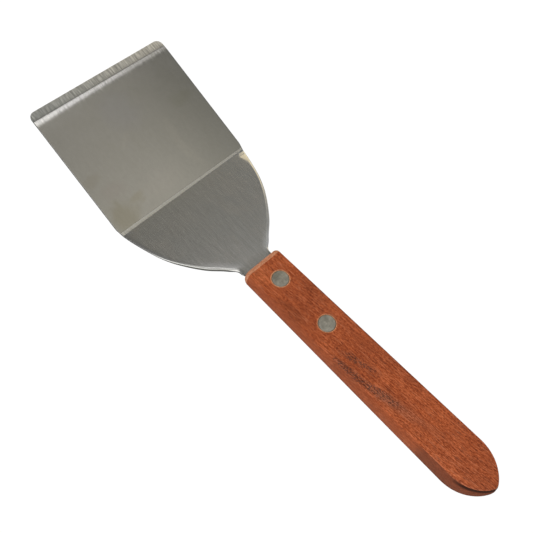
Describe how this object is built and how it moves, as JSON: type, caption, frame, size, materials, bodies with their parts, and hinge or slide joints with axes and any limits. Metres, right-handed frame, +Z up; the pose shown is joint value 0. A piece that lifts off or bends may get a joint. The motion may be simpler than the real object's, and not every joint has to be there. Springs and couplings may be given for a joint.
{
  "type": "grill spatula",
  "caption": "Short rigid turner: a flat stainless blade with a ground lip and a rising shoulder, its tang riveted into a straight hardwood handle with an arched butt.",
  "frame": {"origin": "on the underside of the flat blade, at the middle of its flat length and width", "axes": "+X along the blade to its front lip, +Y to the left of the tool, +Z up from the surface the blade lies on; the handle rises towards -X. The tool is mirrored left to right about the XZ plane and has no axis of rotation"},
  "size_m": [0.2399, 0.0756, 0.0774],
  "materials": {
    "blade_steel": "fine lengthwise brushing on the shoulder, smoother flat blade, coarse cross-ground lip",
    "handle_wood": "oiled reddish-brown hardwood, lengthwise grain with dark pores, satin",
    "rivet_steel": "rivet heads sanded flush with the wood, dull satin"
  },
  "bodies": {
    "root": {"blade": "blade_steel", "handle": "handle_wood", "front_rivet_stud": "rivet_steel", "front_rivet_socket": "rivet_steel", "rear_rivet_stud": "rivet_steel", "rear_rivet_socket": "rivet_steel"}
  },
  "joints": []
}
